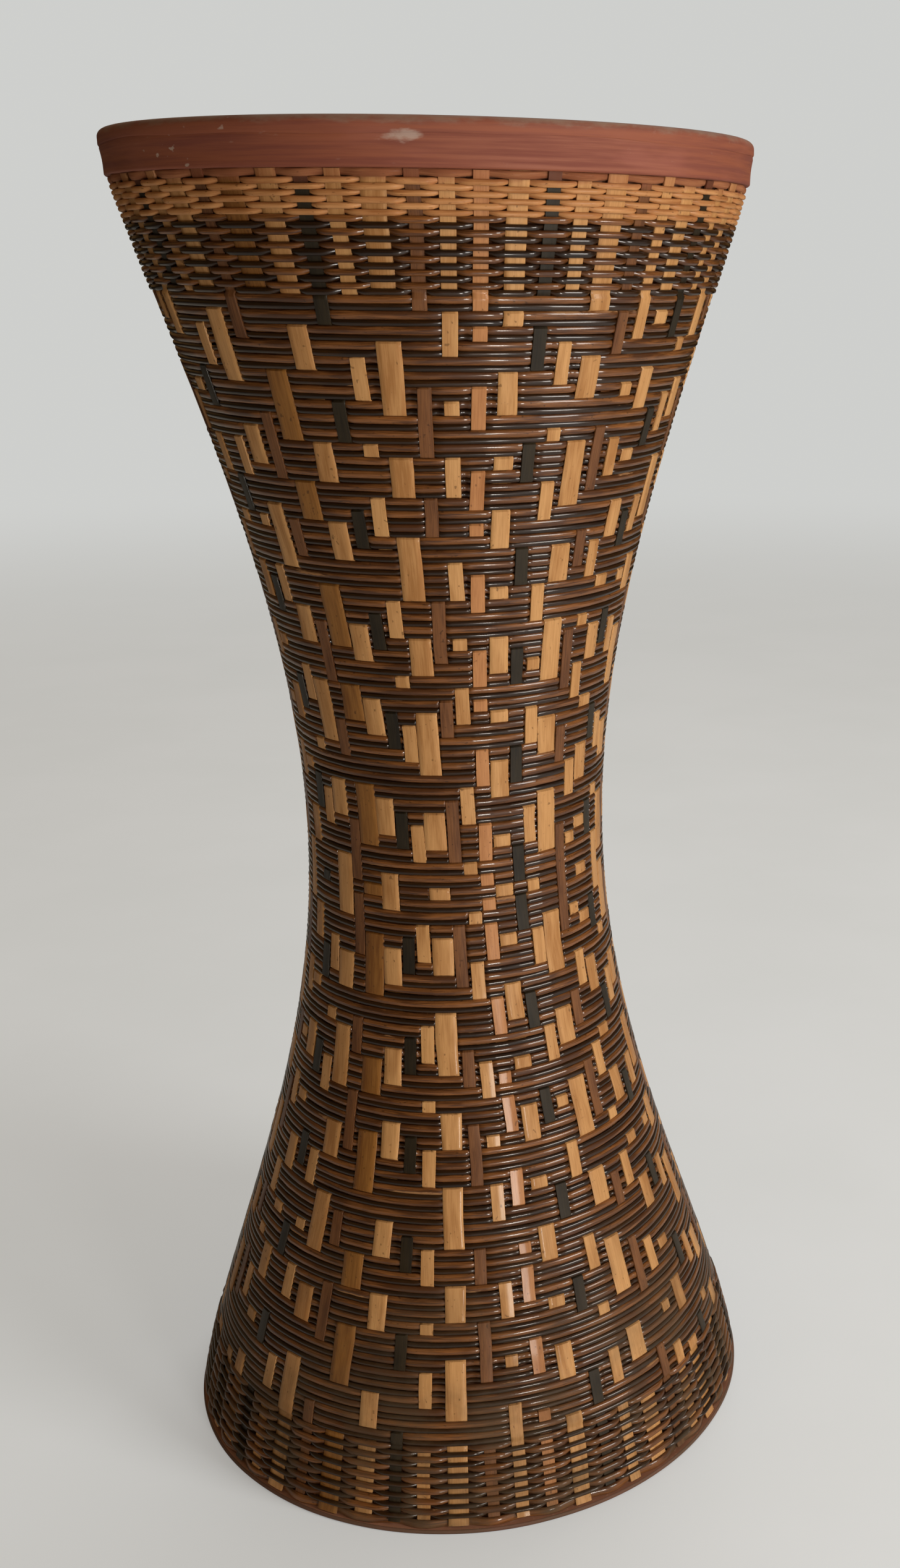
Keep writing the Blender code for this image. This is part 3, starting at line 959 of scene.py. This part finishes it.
def turned_piece(name, profile, materials, node, wobble=1.0, lift=None):
    """A profile of (radius, height, material index) turned about the axis and closed on itself."""
    count = len(profile)
    corners, faces, finish = [], [], []
    for step in range(TURN_STEPS):
        angle = 2 * math.pi * step / TURN_STEPS
        for radius, height, index in profile:
            own = radius + (wobble * hand_made(angle, height) if radius > NEAR_AXIS else 0.0)
            rise = lift(angle, radius, height) if lift else 0.0
            corners.append((own * math.sin(angle), -own * math.cos(angle), height + rise))
    for step in range(TURN_STEPS):
        here, there = step * count, (step + 1) % TURN_STEPS * count
        for i in range(count):
            j = (i + 1) % count
            faces.append((here + i, here + j, there + j, there + i))
            finish.append(profile[i][2])
    mesh = bpy.data.meshes.new(name)
    mesh.from_pydata(corners, [], faces)
    for material in materials:
        mesh.materials.append(material)
    mesh.polygons.foreach_set("material_index", finish)
    mesh.shade_smooth()
    mesh.set_sharp_from_angle(angle=math.radians(55))
    piece = bpy.data.objects.new(name, mesh)
    bpy.context.scene.collection.objects.link(piece)
    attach(piece, "root")
    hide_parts(node)
    print(f"{name}: {len(faces)} faces")
    return piece


def arc(radius, height, bend, start, end, index, steps=7):
    """Points on a quarter turn about (radius, height)."""
    points = []
    for i in range(steps + 1):
        angle = math.radians(start + (end - start) * i / steps)
        points.append((radius + bend * math.cos(angle), height + bend * math.sin(angle), index))
    return points


# %% Sizes of the shell
CLAY_WALL = 7.5 * MM
CLAY_DEPTH = 4.4 * MM  # from the outline of the jacket in to the clay
FIT_GAP = 0.3 * MM
LIP_BEND = 1.7 * MM
FOOT_BEND = 0.8 * MM
COLLAR_BEND = 0.9 * MM
COLLAR_HOLLOW = 0.35 * MM
head_low, head_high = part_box("drumhead")
shell_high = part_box("clay_shell")[1]
foot_radius = shell_high.x
collar_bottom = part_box("border_top")[1].z + FIT_GAP
foot_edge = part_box("border_foot")[0].z - FIT_GAP
lip_radius = head_high.x  # the hide is turned down to here
seat_radius = lip_radius - 2.4 * MM
collar_low_radius = lip_radius - 1.5 * MM
clay_top = shell_high.z
print(f"lip {2000 * lip_radius:.0f} mm across, foot ring {2000 * foot_radius:.0f} mm")

# %% The clay shell
profile = arc(seat_radius - LIP_BEND, clay_top - LIP_BEND, LIP_BEND, 90, 0, 0)
profile += [(seat_radius, head_low.z + 1.6 * MM, 0), (lip_radius - 0.6 * MM, head_low.z + 0.9 * MM, 0)]
COLLAR_STEPS = 9
for i in range(1, COLLAR_STEPS):
    share = i / COLLAR_STEPS
    hollow = COLLAR_HOLLOW * math.sin(math.pi * share)
    radius = lip_radius - 0.2 * MM + (collar_low_radius - lip_radius + 0.2 * MM) * share - hollow
    profile.append((radius, head_low.z + (collar_bottom + 0.8 * MM - head_low.z) * share, 0))
profile += arc(collar_low_radius - COLLAR_BEND, collar_bottom + COLLAR_BEND, COLLAR_BEND, 0, -90, 0, 4)
WALL_STEPS = 60
for i in range(WALL_STEPS + 1):
    height = collar_bottom + (foot_edge - collar_bottom) * i / WALL_STEPS
    profile.append((float(radius_at(length_at(height))) - CLAY_DEPTH, height, 1))
profile += [(foot_radius - FOOT_BEND, foot_edge, 0)]
profile += arc(foot_radius - FOOT_BEND, foot_edge - FOOT_BEND, FOOT_BEND, 90, 0, 0, 3)
profile += [(foot_radius, 0.6 * MM, 0), (foot_radius - 0.6 * MM, 0.0, 0)]
inner = CLAY_DEPTH + CLAY_WALL
foot_inner = float(radius_at(length_at(0.0))) - inner
profile += [(foot_inner + 1.5 * MM, 0.0, 1), (foot_inner + 0.4 * MM, 0.6 * MM, 1)]
inner_top = collar_bottom - CLAY_WALL
for i in range(1, WALL_STEPS + 1):
    height = inner_top * i / WALL_STEPS
    profile.append((float(radius_at(length_at(height))) - inner, height, 1))
mouth_radius = seat_radius - CLAY_WALL - 2 * LIP_BEND
profile += arc(mouth_radius + LIP_BEND, clay_top - LIP_BEND, LIP_BEND, 180, 90, 1, 6)
turned_piece("turned_clay_shell", profile, [painted_clay, bare_clay], "clay_shell")

# %% The head
HIDE = head_high.z - clay_top - FIT_GAP  # thickness
BEND = 3.0 * MM
SAG = 1.1 * MM


def drawn_down(angle, radius, height):
    """The hide sinks a little between the lips, and its cut lower edge isn't level."""
    if height < head_low.z + 1.0 * MM:
        return 0.35 * MM * math.sin(5 * angle) + 0.25 * MM * math.sin(13 * angle + 2)
    share = radius / lip_radius
    return -SAG * max(0.0, 1 - share * share) * (1 if share < 0.97 else 0)


profile = []
HEAD_STEPS = 26
for i in range(HEAD_STEPS):
    profile.append(((lip_radius - BEND) * (i + 0.02) / HEAD_STEPS, head_high.z, 0))
profile += arc(lip_radius - BEND, head_high.z - BEND, BEND, 90, 0, 0, 8)
profile += [(lip_radius, head_low.z + 0.5 * MM, 0), (lip_radius - 0.25 * MM, head_low.z, 0)]
profile += [(lip_radius - HIDE, head_low.z, 0)]
profile += arc(lip_radius - BEND, head_high.z - BEND, BEND - HIDE, 0, 90, 0, 8)
for i in reversed(range(HEAD_STEPS)):
    profile.append(((lip_radius - BEND) * (i + 0.02) / HEAD_STEPS, head_high.z - HIDE, 0))
profile.reverse()
turned_piece("stretched_hide", profile, [hide_material], "drumhead", 0.4, drawn_down)

# %% [markdown]
# ## Studio
#
# The drum stands on a plain pale floor that runs into a pale backdrop with no line between them. A soft
# light from the right and a little in front shapes it. A small low one in front gives the varnish its
# highlights, and one from behind lights the floor. What the camera sees of the sky is brighter than what
# lights the drum, so the grooves of the weave stay dark and warm.

# %% Floor
FLOOR_HALF = 14.0
BACKDROP = (0.620, 0.625, 0.610, 1.0)
floor_mesh = bpy.data.meshes.new("floor")
floor_mesh.from_pydata([(-FLOOR_HALF, -FLOOR_HALF, 0), (FLOOR_HALF, -FLOOR_HALF, 0),
                        (FLOOR_HALF, FLOOR_HALF, 0), (-FLOOR_HALF, FLOOR_HALF, 0)], [], [(0, 1, 2, 3)])
floor = bpy.data.objects.new("floor", floor_mesh)
bpy.context.scene.collection.objects.link(floor)
floor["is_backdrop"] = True
floor_material, graph, shader = new_material("pale_floor")
position = graph.position()
patchy = graph.noise(position, 5.0, 4.0, 0.5)
far = graph.ramp(graph.length(position), 0.9, 3.6)  # the far floor runs into the backdrop
floor_colour = graph.mix(graph.ramp(patchy, 0.3, 0.7), (0.640, 0.690, 0.740, 1.0), (0.610, 0.660, 0.700, 1.0))
graph.join(graph.mix(far, floor_colour, (0.0, 0.0, 0.0, 1.0)), shader.inputs["Base Color"])
shader.inputs["Roughness"].default_value = 1.0
shader.inputs["Specular IOR Level"].default_value = 0.0
graph.join(graph.mix(far, (0.255, 0.257, 0.260, 1.0), BACKDROP), shader.inputs["Emission Color"])
graph.join(graph.add("ShaderNodeLightPath").outputs["Is Camera Ray"], shader.inputs["Emission Strength"])
floor_mesh.materials.append(floor_material)

print("floor", 2 * FLOOR_HALF, "m across")

# %% Sky
world = bpy.data.worlds.new("studio")
world.use_nodes = True
graph = Graph(world.node_tree)
background = world.node_tree.nodes["Background"]
ray = graph.add("ShaderNodeLightPath")
shade_colour = graph.mix(ray.outputs["Is Glossy Ray"], (0.205, 0.155, 0.092, 1.0), (0.090, 0.050, 0.018, 1.0))
graph.join(graph.mix(ray.outputs["Is Camera Ray"], shade_colour, BACKDROP), background.inputs["Color"])
background.inputs["Strength"].default_value = 1.0
bpy.context.scene.world = world
bpy.context.scene.view_settings.view_transform = "Standard"

# %% Lights
centre = Vector((0.0, 0.0, HEIGHT / 2))


def soft_light(name, location, size, energy, colour):
    """A square area light that faces the middle of the drum."""
    data = bpy.data.lights.new(name, "AREA")
    data.shape = "SQUARE"
    data.size = size
    data.energy = energy
    data.color = colour
    light = bpy.data.objects.new(name, data)
    light.location = location
    light.rotation_euler = (centre - Vector(location)).to_track_quat("-Z", "Y").to_euler()
    light.visible_camera = False
    bpy.context.scene.collection.objects.link(light)
    return light


soft_light("key", (1.55, -1.10, 0.85), 0.7, 20.5, (1.0, 0.96, 0.90))
soft_light("low_front", (0.62, -1.50, 0.20), 0.26, 8.5, (1.0, 0.95, 0.88))
soft_light("over_the_floor", (0.40, 1.10, 2.20), 1.6, 14, (1.0, 0.98, 0.95))
print("lights:", ", ".join(light.name for light in bpy.data.lights))

# %% [markdown]
# ## Camera
#
# The camera looks a little down on the drum from about its own height, from close by. The drum stands left
# of the lens axis, which is why the lens is shifted.

# %% Camera
CAMERA_BACK = 1.301  # in drum heights
CAMERA_UP = 0.9193
CAMERA_DOWN = 17.09  # degrees below level
CAMERA_TURN = 8.43  # degrees to the right
CAMERA_ROLL = 0.59  # degrees about the line of sight
LENS = 39.02  # millimetres
LENS_SHIFT = -0.1569

camera_data = bpy.data.cameras.new("camera")
camera_data.lens = LENS
camera_data.shift_x = LENS_SHIFT
camera = bpy.data.objects.new("camera", camera_data)
camera.location = (0.0, -CAMERA_BACK * HEIGHT, CAMERA_UP * HEIGHT)
aim = Matrix.Rotation(math.radians(-CAMERA_TURN), 4, "Z")
aim = aim @ Matrix.Rotation(math.radians(90 - CAMERA_DOWN), 4, "X")
aim = aim @ Matrix.Rotation(math.radians(CAMERA_ROLL), 4, "Z")
camera.rotation_euler = aim.to_euler()
bpy.context.scene.collection.objects.link(camera)
bpy.context.scene.camera = camera
print("camera at", [round(value, 3) for value in camera.location])

# %% The size of what is drawn
low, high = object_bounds()
print("visual box, mm:", [round(1000 * value, 1) for value in (*low, *high)])
